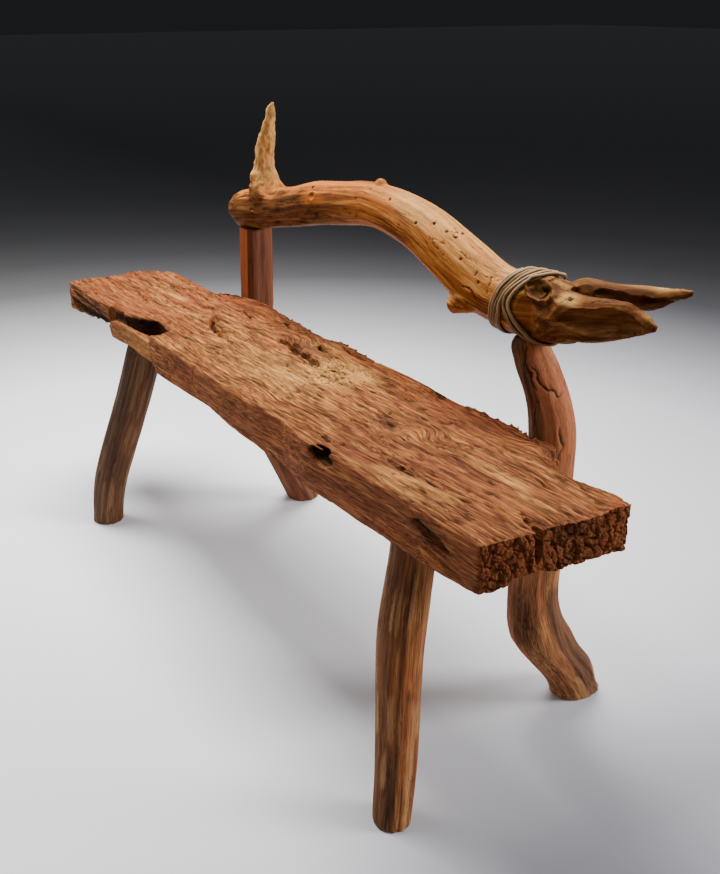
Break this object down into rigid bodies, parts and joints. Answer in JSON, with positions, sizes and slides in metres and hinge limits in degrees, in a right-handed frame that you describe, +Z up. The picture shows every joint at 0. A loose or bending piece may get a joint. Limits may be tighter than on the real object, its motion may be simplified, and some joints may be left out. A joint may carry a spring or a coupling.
{
  "type": "driftwood bench",
  "caption": "Rustic bench: a weathered hewn slab on splayed stick legs, with a crooked post and a forked branch as back rail, lashed at its neck with vine.",
  "frame": {"origin": "on the floor below the middle of the bench's bounding box", "axes": "+Z up, +X along the bench towards the forked head of the rail (a sitter's left hand), -Y to the front, where a sitter's legs hang"},
  "size_m": [1.37, 0.4697, 0.806],
  "materials": {
    "seat": "weathered, worm-eaten, oiled",
    "legs": "barked, smoothed and oiled",
    "posts": "smoothed and oiled",
    "rail": "polished driftwood",
    "hidden": "bare split hardwood",
    "vine": "dry barked vine"
  },
  "bodies": {
    "root": {"seat_plank": "seat", "front_right_leg": "legs", "front_left_leg": "legs", "back_left_leg": "legs", "front_right_wedge": "hidden", "front_left_wedge": "hidden", "back_left_wedge": "hidden", "back_left_post": "posts", "back_right_post": "posts", "back_left_post_peg_upper": "hidden", "back_left_post_peg_lower": "hidden", "back_right_post_peg_upper": "hidden", "back_right_post_peg_lower": "hidden", "back_rail": "rail", "left_rail_dowel": "hidden", "right_rail_dowel": "hidden", "vine_lashing": "vine"}
  },
  "joints": []
}
